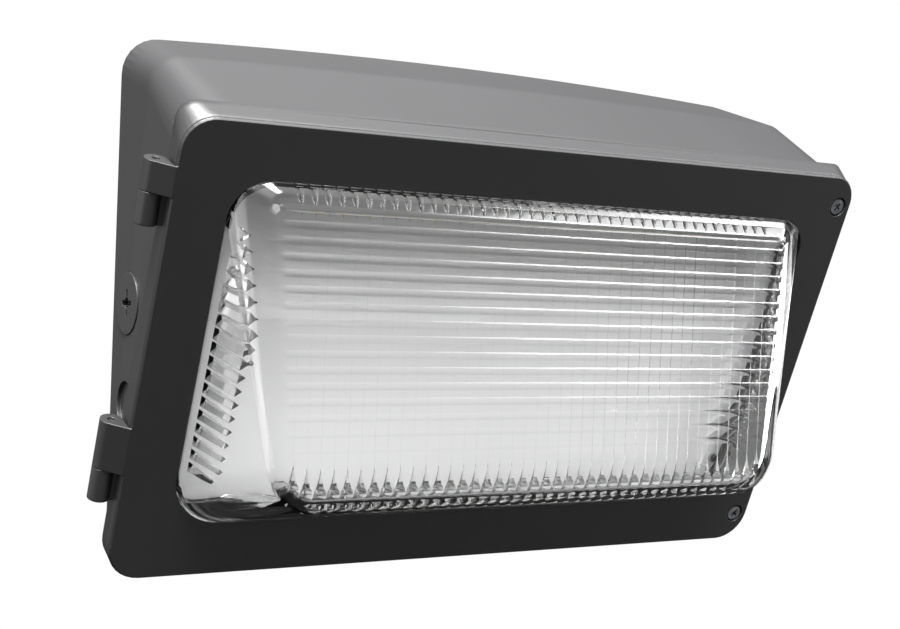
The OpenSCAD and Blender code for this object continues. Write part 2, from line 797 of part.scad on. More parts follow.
// Teardrop knuckle that runs from the door's edge round the hinge axis
module door_knuckles() {
    tangent = [axis_out, -axis_depth];
    turn = atan2(tangent[1], tangent[0]) - acos(barrel_r / norm(tangent));
    for (i = [0, 1]) translate([0, 0, hinge_splits[i] + door_gap / 2])
        linear_extrude(knuckle_ls[i] - door_gap / 2) {
            translate([axis_x, axis_depth]) circle(barrel_r);
            polygon([[-door_half_w + door_lip_t, 0], [-door_half_w, 0],
                     [axis_x + barrel_r * cos(turn), axis_depth + barrel_r * sin(turn)],
                     [axis_x, axis_depth], [axis_x + barrel_r, axis_depth],
                     [-door_half_w - door_gap, rim_front], [-door_half_w - door_gap, door_lip_t],
                     [-door_half_w + door_lip_t, door_lip_t]]);
        }
}

module at_clip_posts() {
    for (end = post_sides, place = post_places)
        translate([place * post_pitch, 0, end * post_up]) children();
}

module door_frame() {
    color(cast_black) at_door() difference() {
        union() {
            hull() {
                slab(0, sliver) door_outline(door_chamfer, $fn = hull_fn);
                slab(door_chamfer, door_lip_t) door_outline(0, $fn = hull_fn);
            }
            slab(door_lip_t - sliver, door_t)
                outline(plate_half_w, -plate_half_h, plate_half_h,
                        door_r_bottom - door_plate_inset, door_r_top - door_plate_inset);
            at_clip_posts() rod_y(post_r, door_lip_t, flange_back);
            for (end = [-1, 1]) translate([screw_x, 0, end * screw_up])
                rod_y(recess_pad_r, door_lip_t - sliver, door_t);
            door_knuckles();
        }
        slab(-over, door_t + over) window_outline(0);
        slab(rebate_front, door_t + over) window_outline(rebate_lap);
        slab(door_t - seal_groove, door_t + over)
            ring(seal_half_w, -seal_half_h, seal_half_h, seal_r, seal_r, seal_w);
        for (end = [-1, 1]) translate([screw_x, 0, end * screw_up]) {
            rod_y(recess_r, -over, recess_depth);
            rod_y(shank_r + thread_gap, -over, door_t + over);
        }
        for (i = [0, 1]) translate([axis_x, axis_depth, hinge_splits[i] - over])
            cylinder(r = pin_r + pin_gap, h = knuckle_ls[i] + 2 * over);
        at_clip_posts() rod_y(small_r, flange_back + clip_t - small_l, flange_back + over);
    }
}

module door_gasket() {
    color(rubber_black) at_door() slab(door_t - seal_groove, door_t + seal_proud)
        ring(seal_half_w, -seal_half_h, seal_half_h, seal_r, seal_r, seal_w);
}

module refractor_gasket() {
    color(rubber_black) at_door() slab(rebate_front, flange_front) difference() {
        window_outline(glass_flange);
        window_outline(0);
    }
}

// Solid form of the glass, drawn in by inset, from the window forwards
module glass_form(inset) {
    past = inset > 0 ? over : 0;
    hull() {
        at_door() slab(rebate_front - past, flange_back + past)
            outline(root_half - inset, root_lo + inset, root_hi - inset,
                    window_r_bottom - glass_gap - inset, window_r_top - glass_gap - inset, $fn = hull_fn);
        for (k = [0:edge_steps]) {
            a = 90 * k / edge_steps;
            deep = glass_edge_r * (1 - cos(a));
            draw = glass_edge_r * (1 - sin(a));
            front_section(-glass_front + inset + deep, draw + inset, side_rise_share * draw + inset);
        }
    }
}

// Thin section of the glass's front at distance y, its sides drawn in by dx and its ends by dz
module front_section(y, dx, dz) {
    top_r = max(glass_r_top - dx, corner_least_share * glass_r_top);
    top_z = glass_hi - glass_r_top - dz + min(dx, corner_lift_share * glass_r_top);
    low_z = glass_lo + glass_r_bottom + dz - dx;
    for (side = [-1, 1]) {
        translate([side * (glass_half_top - glass_r_top), 0, top_z])
            rod_y(top_r, y, y + sliver, $fn = hull_fn);
        translate([side * (glass_half_bottom - glass_r_bottom), 0, low_z])
            rod_y(glass_r_bottom - dx, y, y + sliver, $fn = hull_fn);
    }
}

// Half width of the glass's front at height z
function glass_half(z) = glass_half_bottom + (glass_half_top - glass_half_bottom)
    * (z - glass_lo - glass_r_bottom) / (glass_hi - glass_lo - glass_r_top - glass_r_bottom);

module ribs() {
    for (i = [0:rib_count - 1]) {
        z = glass_hi - rib_start - i * rib_pitch;
        half = glass_half(z) - rib_end_in;
        hull() {
            translate([-half, -glass_front, z - rib_w / 2]) cube([2 * half, over, rib_w]);
            for (share = dome_shares)
                translate([-half + rib_w / 2 * (1 - share), -glass_front - rib_h * (1 - share ^ 2),
                           z - share * rib_w / 2])
                    cube([2 * half - rib_w * (1 - share), over, share * rib_w]);
        }
    }
}

// Ridge of triangular section: each station is [place, inward direction, height, half base]
module ridge(stations) {
    n = len(stations);
    points = [for (s = stations) each [s[0] - over * s[1] - s[3] * s[4], s[0] - over * s[1] + s[3] * s[4],
                                       s[0] + s[2] * s[1]]];
    polyhedron(points, concat(
        [[0, 1, 2], [3 * n - 1, 3 * n - 2, 3 * n - 3]],
        [for (i = [0:n - 2], k = [0:2]) let (a = 3 * i + k, b = 3 * i + (k + 1) % 3)
            each [[a, a + 3, b + 3], [a, b + 3, b]]]));
}

// Stations of a flute at x: from the root along the floor, round the corner, up the front, to the top
function flute_stations(x, lift) = let (
        wide = [for (share = flute_base_shares) share * flute_pitch],
        face = -glass_front + glass_t,
        r = glass_edge_r,
        low_z = glass_lo + glass_t + lift,
        top_z = glass_hi - glass_t,
        foot_up = root_lo + glass_t + lift,
        head_up = root_hi - glass_t,
        root = [x, door_y(flange_front, foot_up), door_z(flange_front, foot_up)],
        roof = [x, door_y(flange_front, head_up), door_z(flange_front, head_up)],
        bend = r * (1 - cos(45)),
        along = [1, 0, 0]) concat(
    [[root, [0, 0, 1], flute_h, wide[0], along]],
    [for (k = [0:edge_steps - 1]) let (a = 90 * k / edge_steps)
        [[x, face + r * (1 - sin(a)), low_z + r * (1 - cos(a))], [0, sin(a), cos(a)],
         flute_h, wide[0], along]],
    [[[x, face, low_z + r], [0, 1, 0], fade_start_share * flute_h, wide[0] * fade_start_share, along],
     [[x, face, low_z + r + flute_fade / 2], [0, 1, 0], fade_half_share * flute_h, wide[1], along],
     [[x, face, low_z + r + flute_fade], [0, 1, 0], flute_low, wide[2], along],
     [[x, face, top_z - r], [0, 1, 0], flute_low, wide[2], along],
     [[x, face + bend, top_z - bend], [0, cos(45), -sin(45)], flute_top, wide[3], along],
     [roof, [0, 0, -1], flute_top, wide[3], along]]);

module flutes() {
    n = floor((glass_half_bottom - glass_r_bottom / 2) / flute_pitch);
    for (i = [-n:n]) {
        rise = max(0, abs(i) * flute_pitch - (glass_half_bottom - glass_r_bottom));
        ridge(flute_stations(i * flute_pitch, glass_r_bottom - sqrt(glass_r_bottom ^ 2 - rise ^ 2)));
    }
}

// Short flutes on the glass's sides, square to the door, from near the door's face forwards
module side_flutes() {
    n = floor((root_hi - root_lo - window_r_bottom - window_r_top) / flute_pitch);
    half_base = flute_base_shares[0] * flute_pitch;
    seat = glass_t / 2;
    tall = side_flute_h + seat;
    floor_z = glass_lo + glass_t + glass_edge_r;
    at_door() for (i = [0:n]) {
        up = root_lo + window_r_bottom + i * flute_pitch;
        front = max(-side_flute_in - side_flute_l, depth_at(glass_front - glass_t - glass_edge_r, up),
                    (floor_z + door_drop - up * cos(door_lean)) / sin(door_lean));
        full = depth_at(glass_front - glass_t, up);
        draw = root_half - glass_half(door_z(full, up));
        x0 = root_half - seat - draw * (flange_front + side_flute_in) / (flange_front - full);
        x1 = root_half - seat - draw * (flange_front - front) / (flange_front - full);
        if (front < -side_flute_in - air) for (side = [-1, 1])
            ridge([[[side * x0, -side_flute_in, up], [-side, 0, 0], tall, half_base, [0, 0, side]],
                   [[side * x1, front, up], [-side, 0, 0], tall, half_base, [0, 0, side]]]);
    }
}

module refractor() {
    color(clear_glass) {
        difference() {
            union() {
                glass_form(0);
                at_door() slab(flange_front, flange_back) window_outline(glass_flange, $fn = hull_fn);
                ribs();
            }
            glass_form(glass_t);
        }
        flutes();
        side_flutes();
    }
}

module glass_clips() {
    color(steel) at_door() difference() {
        for (end = post_sides, place = post_places) {
            flange_edge = end > 0 ? window_hi + glass_flange : -window_lo + glass_flange;
            lo = flange_edge - clip_bite;
            hi = post_up + post_r;
            translate([place * post_pitch, flange_back, end * (lo + hi) / 2])
                translate([-clip_w / 2, 0, -(hi - lo) / 2]) cube([clip_w, clip_t, hi - lo]);
        }
        at_clip_posts() rod_y(small_r, flange_back - over, flange_back + clip_t + over);
    }
}

module clip_screws() {
    color(steel) at_door() at_clip_posts()
        translate([0, flange_back + clip_t + small_head_h, 0]) rotate([0, 0, 180])
            pan_screw(small_head_r, small_head_h, small_r, small_l);
}

module door_screw(end) {
    color(steel) at_door() translate([screw_x, head_front, end * screw_up]) {
        pan_screw(head_r, head_h, shank_r, thread_start - recess_depth + sliver);
        rod_y(thread_r, thread_start - head_front, thread_end - head_front);
    }
}

module door_screw_upper() { door_screw(1); }

module door_screw_lower() { door_screw(-1); }

module screw_retainers() {
    color(nylon) at_door() for (end = [-1, 1]) translate([screw_x, 0, end * screw_up])
        difference() {
            rod_y(retainer_r, door_t, door_t + retainer_t);
            rod_y(shank_r + shank_gap, door_t - over, door_t + retainer_t + over);
        }
}

// Liner's profile in y and z, grown by g outwards from the light
function liner_profile(g, front) = let (back = -liner_back + g, top = liner_hi + g,
        bend = liner_bend + g, cy = -liner_back - liner_bend, cz = liner_hi - liner_bend,
        foot_y = door_y(liner_depth, -liner_up), foot_z = door_z(liner_depth, -liner_up)) concat(
    [[door_y(front, liner_up + g), door_z(front, liner_up + g)],
     [door_y(liner_depth, liner_up) + over, top]],
    [for (k = [0:edge_steps]) let (a = 90 - 90 * k / edge_steps) [cy + bend * cos(a), cz + bend * sin(a)]],
    [[back, -liner_fold], [foot_y + g, foot_z],
     [door_y(front, -liner_up - g), door_z(front, -liner_up - g)]]);

module liner_prism(g, front) {
    translate([liner_half + g, 0, 0]) rotate([0, -90, 0]) linear_extrude(2 * (liner_half + g))
        polygon([for (p = liner_profile(g, front)) [p[1], p[0]]]);
}

module reflector() {
    color(liner_white) difference() {
        union() {
            liner_prism(liner_t, liner_depth);
            at_door() slab(liner_depth, liner_depth + liner_t)
                outline(liner_half + liner_side_flange, -liner_up - liner_end_flange,
                        liner_up + liner_end_flange, liner_end_flange, liner_end_flange);
        }
        liner_prism(0, liner_depth - over);
        translate([-liner_window_half_w, window_rows_y - liner_window_half_d, liner_hi - over])
            cube([2 * liner_window_half_w, 2 * liner_window_half_d, liner_t + 2 * over]);
        at_door() at_posts() rod_y(small_r, liner_depth - over, liner_depth + liner_t + over);
    }
}

module reflector_screws() {
    color(steel) at_door() at_posts() translate([0, liner_depth - small_head_h, 0])
        pan_screw(small_head_r, small_head_h, small_r, liner_t + small_l);
}

module heat_shelf() {
    color(bare_aluminium) difference() {
        union() {
            translate([-shelf_w / 2, -shelf_out, shelf_z]) cube([shelf_w, shelf_out - pad_top, shelf_t]);
            translate([-shelf_w / 2, -pad_top - shelf_t, shelf_z])
                cube([shelf_w, shelf_t, shelf_t + shelf_leg]);
        }
        at_shelf_screws() rod_y(small_r, -pad_top - shelf_t - over, -pad_top + over);
        at_board_screws() translate([0, 0, -over]) cylinder(r = small_r, h = shelf_t + 2 * over);
    }
}

module shelf_screws() {
    color(steel) at_shelf_screws() translate([0, -pad_top - shelf_t - small_head_h, 0])
        pan_screw(small_head_r, small_head_h, small_r, shelf_t + small_l);
}

module at_board_screws() {
    for (place = [-1, 0, 1])
        translate([place * board_screw_count * led_pitch, window_rows_y, shelf_z]) children();
}

module led_board() {
    color(board_white) difference() {
        translate([-board_w / 2, -board_out, board_low]) cube([board_w, board_d, board_t]);
        at_board_screws() translate([0, 0, -board_t - over]) cylinder(r = small_r, h = board_t + 2 * over);
    }
}

module led_packages() {
    color(led_yellow) for (row = [-1, 1], i = [0:led_count - 1])
        translate([led_first_x + i * led_pitch - led_side / 2,
                   window_rows_y + row * led_row_gap / 2 - led_side / 2, board_low - led_h])
            cube([led_side, led_side, led_h]);
}

module board_screws() {
    color(steel) at_board_screws() translate([0, 0, -board_t - small_head_h]) rotate([90, 0, 0])
        pan_screw(small_head_r, small_head_h, small_r, board_t + shelf_t);
}

module board_connector() {
    color(nylon) difference() {
        translate([connector_x - connector_w / 2, connector_y, board_low - connector_h])
            cube([connector_w, connector_d, connector_h]);
        for (i = [0, 1])
            translate([connector_x + (i - 0.5) * lead_gap, connector_y + connector_d / 2,
                       board_low - connector_h - over])
                cylinder(r = lead_r, h = over + lead_r);
    }
}

module driver_case() {
    color(bare_aluminium) translate([driver_x, driver_y, driver_low]) difference() {
        translate([-driver_w / 2, 0, 0]) cube([driver_w, driver_d, driver_h]);
        translate([-driver_w / 2 - over, driver_wall, driver_wall])
            cube([driver_w + 2 * over, driver_d - 2 * driver_wall, driver_h - 2 * driver_wall]);
    }
}

module driver_end_caps() {
    color(rubber_black) for (side = [-1, 1]) difference() {
        union() {
            translate([driver_x + side * (driver_w + cap_t) / 2, driver_y + driver_d / 2, driver_mid])
                cube([cap_t, driver_d, driver_h], center = true);
            translate([driver_x + side * (driver_w / 2 + cap_t + ear_l / 2), -pad_top - ear_t / 2,
                       driver_mid])
                cube([ear_l + sliver, ear_t, 2 * pad_r], center = true);
        }
        at_driver_screws() rod_y(small_r, -pad_top - ear_t - over, -pad_top + over);
    }
}

module driver_screws() {
    color(steel) at_driver_screws() translate([0, -pad_top - ear_t - small_head_h, 0])
        pan_screw(small_head_r, small_head_h, small_r, ear_t + small_l);
}

module terminal_block() {
    color(nylon) difference() {
        translate([block_x - block_w / 2, -pad_top - block_d, block_low])
            cube([block_w, block_d, block_h]);
        for (i = [0, 1])
            translate([block_x + (i - 0.5) * pole_pitch, -pad_top - block_d / 2, block_low - over])
                cylinder(r = lead_r + fit_gap, h = block_h + 2 * over);
        at_block_screws() rod_y(small_r, -pad_top - block_d - over, -pad_top + over);
    }
}

module terminal_screws() {
    color(steel) at_block_screws() translate([0, -pad_top - block_d - small_head_h, 0])
        pan_screw(small_head_r, small_head_h, small_r, block_d + small_l);
}

module ground_screw() {
    color(brass_green) at_ground() translate([0, -pad_top - small_head_h, 0])
        pan_screw(ground_r, small_head_h, small_r, small_l);
}

// Lead in the plane y = const: from (x0, z0) along x to x1, round a bend and along z to z1
module bent_lead(x0, z0, x1, z1) {
    sx = sign(x1 - x0);
    sz = sign(z1 - z0);
    translate([min(x0, x1 - sx * lead_bend), 0, z0]) rod_x(lead_r, 0, abs(x1 - sx * lead_bend - x0));
    translate([x1 - sx * lead_bend, 0, z0 + sz * lead_bend]) rotate([90, 0, 0])
        rotate([0, 0, sx > 0 ? (sz > 0 ? -90 : 0) : (sz > 0 ? 180 : 90)])
            rotate_extrude(angle = 90) translate([lead_bend, 0]) circle(lead_r, $fn = 24);
    translate([x1, 0, min(z1, z0 + sz * lead_bend)])
        cylinder(r = lead_r, h = abs(z1 - z0 - sz * lead_bend));
}

module input_leads() {
    color(rubber_black) translate([0, -pad_top - block_d / 2, 0]) for (i = [0, 1])
        bent_lead(driver_x - driver_w / 2 - cap_t, driver_mid - lead_gap * (i - 0.5),
                  block_x - pole_pitch * (0.5 - i), block_low + block_h / 2);
}

module output_leads() {
    color(rubber_black) translate([0, connector_y + connector_d / 2, 0]) for (i = [0, 1])
        bent_lead(driver_x + driver_w / 2 + cap_t, driver_mid - lead_gap * (i - 0.5),
                  connector_x + lead_gap * (i - 0.5), board_low - connector_h + lead_r);
}

housing();
conduit_plugs();
hinge_pins();
door_frame();
door_gasket();
refractor();
refractor_gasket();
glass_clips();
clip_screws();
door_screw_upper();
door_screw_lower();
screw_retainers();
reflector();
reflector_screws();
heat_shelf();
shelf_screws();
led_board();
led_packages();
board_screws();
board_connector();
driver_case();
driver_end_caps();
driver_screws();
terminal_block();
terminal_screws();
ground_screw();
input_leads();
output_leads();
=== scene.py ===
# %% [markdown]
# Wall pack light, dressed for a studio render.
# A die-cast housing carries a leaning door, and the door holds a pressed prismatic glass over a
# white enamelled liner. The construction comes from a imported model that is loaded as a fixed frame.
# This notebook gives every piece its finish. It builds the glass anew, whose detail is finer than
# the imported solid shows, and turns the two door screws as they stand in the photograph.

# %% Load the frame
import math

import bmesh
import bpy
from mathutils import Matrix, Vector


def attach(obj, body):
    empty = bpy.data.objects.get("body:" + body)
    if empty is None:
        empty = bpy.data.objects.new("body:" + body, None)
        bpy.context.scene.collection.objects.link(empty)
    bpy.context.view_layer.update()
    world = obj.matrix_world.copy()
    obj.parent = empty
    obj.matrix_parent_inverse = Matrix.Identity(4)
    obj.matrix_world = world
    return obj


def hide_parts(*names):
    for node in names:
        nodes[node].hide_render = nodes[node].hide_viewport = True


MM = 0.001
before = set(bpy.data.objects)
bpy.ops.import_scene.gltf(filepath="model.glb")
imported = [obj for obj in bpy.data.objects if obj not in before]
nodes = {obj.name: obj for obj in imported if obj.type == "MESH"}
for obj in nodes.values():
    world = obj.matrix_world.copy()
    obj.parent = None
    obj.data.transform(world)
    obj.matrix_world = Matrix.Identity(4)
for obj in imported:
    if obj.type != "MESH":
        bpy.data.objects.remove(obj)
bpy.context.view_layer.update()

# %% [markdown]
# The camera comes first, because every choice of detail depends on what it sees.
# The photograph was taken level with the fixture, from its left, with a slightly long lens, and it
# leans about two degrees. The place and the angles are worked out from where the door's corners,
# the glass and the hinges lie in the picture and in the model.

# %% Camera
SENSOR_MM, LENS_MM = 36.0, 60.47
NEAREST_M, FARTHEST_M = 0.01, 60.0
camera_data = bpy.data.cameras.new("photo_camera")
camera_data.sensor_width, camera_data.lens = SENSOR_MM, LENS_MM
camera_data.clip_start, camera_data.clip_end = NEAREST_M, FARTHEST_M
camera = bpy.data.objects.new("photo_camera", camera_data)
bpy.context.scene.collection.objects.link(camera)

camera_place = Vector((-390.83, -645.61, 11.22)) * MM
camera_yaw = math.radians(30.94)
camera_pitch = math.radians(-1.21)
camera_roll = math.radians(2.24)
camera.matrix_world = (
    Matrix.Translation(camera_place)
    @ Matrix.Rotation(-camera_yaw, 4, "Z")
    @ Matrix.Rotation(math.pi / 2 + camera_pitch, 4, "X")
    @ Matrix.Rotation(camera_roll, 4, "Z")
)
bpy.context.scene.camera = camera
bpy.context.scene.view_settings.view_transform = "Standard"
print("camera is", round(camera_place.length, 3), "m from the middle of the wall screws")

# %% [markdown]
# Colours are written as sRGB hex values, as a paint shop or a picture editor gives them.
# Shaders work in linear light, so one function turns them.
# A material is a small graph of nodes. Two helpers keep the recipes short: one starts a material
# with its Principled shader, the other adds any node with its settings and links. Paint, plastic,
# enamel and glass all have an IOR of about 1.5.


# %% Material helpers
def linear(hex_colour):
    """sRGB hex colour such as '#3c3c3e' to linear RGBA, by the curve of the sRGB standard."""
    channels = [int(hex_colour[i : i + 2], 16) / 255 for i in (1, 3, 5)]
    return [c / 12.92 if c <= 0.04045 else ((c + 0.055) / 1.055) ** 2.4 for c in channels] + [1.0]


def start_material(name, **sockets):
    """New material whose Principled shader has these socket values."""
    material = bpy.data.materials.new(name)
    material.use_nodes = True
    shader = material.node_tree.nodes["Principled BSDF"]
    for socket, value in sockets.items():
        shader.inputs[socket.replace("_", " ")].default_value = value
    return material, material.node_tree, shader


def add_node(tree, kind, settings=None, **links):
    """Adds a node. settings are its properties. links are its inputs, by name or as i and a number,
    and each is a value or another node's output."""
    node = tree.nodes.new(kind)
    for name, value in (settings or {}).items():
        setattr(node, name, value)
    for name, value in links.items():
        by_number = name[0] == "i" and name[1:].isdigit()
        socket = node.inputs[int(name[1:]) if by_number else name]
        if isinstance(value, bpy.types.NodeSocket):
            tree.links.new(value, socket)
        else:
            socket.default_value = value
    return node


def place_in_mm(tree):
    """The point's own place on the piece, in millimetres, so that patterns have real sizes."""
    place = add_node(tree, "ShaderNodeTexCoord").outputs["Object"]
    to_mm = add_node(tree, "ShaderNodeVectorMath", {"operation": "SCALE"}, i0=place, Scale=1 / MM)
    return to_mm.outputs[0]


def noise(tree, place, size_mm, detail=2.0, roughness=0.5):
    """Noise whose spots are about size_mm across."""
    return add_node(
        tree,
        "ShaderNodeTexNoise",
        Vector=place,
        Scale=1 / size_mm,
        Detail=detail,
        Roughness=roughness,
    ).outputs["Fac"]


def blend_range(tree, value, low, high):
    """Maps a 0 to 1 value onto low to high."""
    return add_node(tree, "ShaderNodeMapRange", i0=value, i3=low, i4=high).outputs[0]


def blend_colours(tree, value, dark, light):
    """Blends two hex colours by a 0 to 1 value."""
    dark, light = linear(dark), linear(light)
    mix = add_node(tree, "ShaderNodeMix", {"data_type": "RGBA"}, i0=value, i6=dark, i7=light)
    return mix.outputs[2]


ROUND_SAMPLES = 8


def bump(tree, shader, height, depth_mm, rounding=None):
    """Bump of that depth on the shader, over edges that are shaded round by this radius in m."""
    node = add_node(tree, "ShaderNodeBump", Height=height, Distance=depth_mm * MM, Strength=1.0)
    if rounding is not None:
        rounded = add_node(tree, "ShaderNodeBevel", {"samples": ROUND_SAMPLES}, Radius=rounding)
        tree.links.new(rounded.outputs[0], node.inputs["Normal"])
    tree.links.new(node.outputs[0], shader.inputs["Normal"])


# %% [markdown]
# Powder coat is the finish of the housing and the door: polyester powder, sprayed dry on the
# die-casting and melted in an oven. It flows out to a satin skin with a very slight orange peel,
# whose spots are one to two millimetres wide and some microns high, so highlights stay soft.
# A real casting has no crisp edge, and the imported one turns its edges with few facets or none. So
# the coat shades them round: by six millimetres along the ridges of the housing's roof, and tightly
# elsewhere. The back wall, which is thin, has the tight rounding too, so the wide one fades in with
# height and with distance from the wall.


# %% Powder coat
EDGE_ROUND_MM, RIDGE_ROUND_MM = 0.6, 6.0
RIDGE_FROM_MM, RIDGE_TO_MM = 62.0, 85.0
BACK_CLEAR_MM, BACK_END_MM = -16.0, -8.0
COAT_CLOUD_MM, COAT_GRAIN_MM = 60.0, 0.9
COAT_SMOOTHER, COAT_ROUGHER = 0.03, 0.04
PEEL_MM, PEEL_DEPTH_MM = 1.6, 0.012


def powder_coat(name, dark, light, roughness, has_ridge):
    """Satin powder coat between two close colours, rounded more on the ridges if it has any."""
    material, tree, shader = start_material(name, Roughness=roughness, IOR=1.5)
    place = place_in_mm(tree)
    broad = noise(tree, place, COAT_CLOUD_MM)
    tree.links.new(blend_colours(tree, broad, dark, light), shader.inputs["Base Color"])
    grain = noise(tree, place, COAT_GRAIN_MM, detail=3.0)
    satin = blend_range(tree, grain, roughness - COAT_SMOOTHER, roughness + COAT_ROUGHER)
    tree.links.new(satin, shader.inputs["Roughness"])
    rounding = EDGE_ROUND_MM * MM
    if has_ridge:
        sides = add_node(tree, "ShaderNodeSeparateXYZ", i0=place)
        height, depth = sides.outputs["Z"], sides.outputs["Y"]
        high = add_node(tree, "ShaderNodeMapRange", i0=height, i1=RIDGE_FROM_MM, i2=RIDGE_TO_MM)
        out = add_node(tree, "ShaderNodeMapRange", i0=depth, i1=BACK_END_MM, i2=BACK_CLEAR_MM)
        on_ridge = add_node(
            tree, "ShaderNodeMath", {"operation": "MULTIPLY"}, i0=high.outputs[0], i1=out.outputs[0]
        ).outputs[0]
        rounding = blend_range(tree, on_ridge, EDGE_ROUND_MM * MM, RIDGE_ROUND_MM * MM)
    bump(tree, shader, noise(tree, place, PEEL_MM), PEEL_DEPTH_MM, rounding)
    return material


housing_coat = powder_coat("charcoal_powder_coat", "#1c1c1d", "#202021", 0.42, has_ridge=True)
# Painted shade: the door's coat is a darker copy of the housing's, for the door's front, which leans
# down and away from the light.
door_coat = powder_coat("door_coat_painted_darker", "#141415", "#171718", 0.45, has_ridge=False)

# %% [markdown]
# The screws, pins and clips are zinc-plated steel: bright and slightly blue, with a soft uneven
# haze from the plating bath. The two door screws are polished, so they are smoother, and they are
# darker to match the photograph: their colour is painted shade, a darker copy of the plated steel
# that stands for the dark room their polished heads reflect. A metal keeps the default IOR.


# %% Zinc-plated steel
PLATE_CLOUD_MM, PLATE_GRAIN_MM, PLATE_GRAIN_DEPTH_MM = 2.5, 0.35, 0.006
PLATE_SMOOTHER, PLATE_ROUGHER = 0.06, 0.10


def plated_steel(name, dark, roughness, light="#e4e6ea"):
    """Plated steel that is clouded between two colours and between smoother and rougher."""
    material, tree, shader = start_material(name, Metallic=1.0, Roughness=roughness)
    place = place_in_mm(tree)
    cloud = noise(tree, place, PLATE_CLOUD_MM, detail=4.0)
    tree.links.new(blend_colours(tree, cloud, dark, light), shader.inputs["Base Color"])
    haze = blend_range(tree, cloud, roughness - PLATE_SMOOTHER, roughness + PLATE_ROUGHER)
    tree.links.new(haze, shader.inputs["Roughness"])
    bump(tree, shader, noise(tree, place, PLATE_GRAIN_MM), PLATE_GRAIN_DEPTH_MM)
    return material


zinc = plated_steel("zinc_plated_steel", "#b9bcc2", 0.24)
# Painted shade: the door screws' steel is the zinc made darker, for the dark room that their heads
# reflect.
painted_dark_screw_steel = plated_steel("polished_screw_steel", "#505257", 0.16, light="#bcbec3")

# %% [markdown]
# Pressed glass is clear soda-lime glass, poured hot and pressed in an iron mould. Its faces are
# fire-polished, so they are smooth, and all that is seen in it comes from its shape.

# %% Pressed glass
pressed_glass = start_material(
    "pressed_glass", Base_Color=linear("#ffffff"), Transmission_Weight=1.0, Roughness=0.0, IOR=1.5
)[0]

# %% [markdown]
# The liner is deep-drawn sheet with white enamel, which sends nearly all light back out of the
# fixture. The photograph shows it darker towards the top, so its colour goes from grey to white by
# height: this is painted shade, for the shade that the hood casts on the liner's upper part. The
# enamel is slightly uneven, which shows as slow changes in tone and gloss.

# %% White enamel, with painted shade towards the top
LINER_TOP_MM, LINER_BOTTOM_MM = 80.0, -90.0
ENAMEL_CLOUD, ENAMEL_CLOUD_MM = 0.06, 45.0
ENAMEL_SPOT_MM, ENAMEL_GLOSS = 3.0, (0.26, 0.36)
ENAMEL_WAVE_MM, ENAMEL_WAVE_DEPTH_MM = 4.0, 0.01
white_enamel, tree, shader = start_material("white_enamel", IOR=1.5)
place = place_in_mm(tree)
height = add_node(tree, "ShaderNodeSeparateXYZ", i0=place).outputs["Z"]
# Painted shade: this mask makes the enamel greyer towards the liner's top, where the hood casts
# shade.
painted_light_by_height = add_node(
    tree,
    "ShaderNodeMapRange",
    {"interpolation_type": "SMOOTHSTEP"},
    i0=height,
    i1=LINER_TOP_MM,
    i2=LINER_BOTTOM_MM,
).outputs[0]
cloud = noise(tree, place, ENAMEL_CLOUD_MM)
uneven_with_painted_shade = add_node(
    tree, "ShaderNodeMath", {"operation": "MULTIPLY_ADD"}, i0=cloud, i1=ENAMEL_CLOUD, i2=painted_light_by_height
).outputs[0]
# The grey end is painted shade at the liner's top, and the near-white end is its lit bottom.
tree.links.new(blend_colours(tree, uneven_with_painted_shade, "#bcbcbc", "#fdfdfd"), shader.inputs["Base Color"])
gloss = blend_range(tree, noise(tree, place, ENAMEL_SPOT_MM), *ENAMEL_GLOSS)
tree.links.new(gloss, shader.inputs["Roughness"])
bump(tree, shader, noise(tree, place, ENAMEL_WAVE_MM), ENAMEL_WAVE_DEPTH_MM)

# %% [markdown]
# Inside are plainer finishes. Mill aluminium has rolling lines along the sheet. Moulded plastics
# and rubber have the fine grain of their mould. The circuit board has a smooth solder mask, the
# light source a soft yellow gel, and the ground screw is plated steel that was passivated green.


# %% Inner finishes
MOULDED_CLOUD_MM, MOULDED_SPREAD = 12.0, 0.05
ROLLING_LINE_MM, ROLLING_STRETCH, ROLLING_DEPTH_MM = 0.5, 0.02, 0.004
ROLLING_GLOSS = (0.28, 0.42)


def moulded(name, dark, light, roughness, grain_mm, depth_mm):
    """Moulded plastic or rubber with the fine grain of its mould."""
    material, tree, shader = start_material(name, IOR=1.5)
    place = place_in_mm(tree)
    cloud = noise(tree, place, MOULDED_CLOUD_MM)
    tree.links.new(blend_colours(tree, cloud, dark, light), shader.inputs["Base Color"])
    grain = noise(tree, place, grain_mm, detail=3.0)
    matt = blend_range(tree, grain, roughness - MOULDED_SPREAD, roughness + MOULDED_SPREAD)
    tree.links.new(matt, shader.inputs["Roughness"])
    bump(tree, shader, grain, depth_mm)
    return material


silicone = moulded("silicone_rubber", "#1a1a1a", "#222222", 0.62, 0.5, 0.010)
clear_silicone = moulded("milky_silicone", "#b9b9b6", "#c6c6c3", 0.50, 0.5, 0.006)
nylon = moulded("natural_nylon", "#ddd9c8", "#e6e2d2", 0.45, 0.4, 0.008)
black_plastic = moulded("black_polycarbonate", "#171717", "#1e1e1e", 0.40, 0.4, 0.008)
lead_jacket = moulded("pvc_lead_jacket", "#141414", "#1b1b1b", 0.38, 0.6, 0.004)
solder_mask = moulded("white_solder_mask", "#e6eae6", "#eef1ee", 0.30, 0.8, 0.003)
phosphor = moulded("phosphor_gel", "#f0c83c", "#f6d45a", 0.25, 0.6, 0.004)

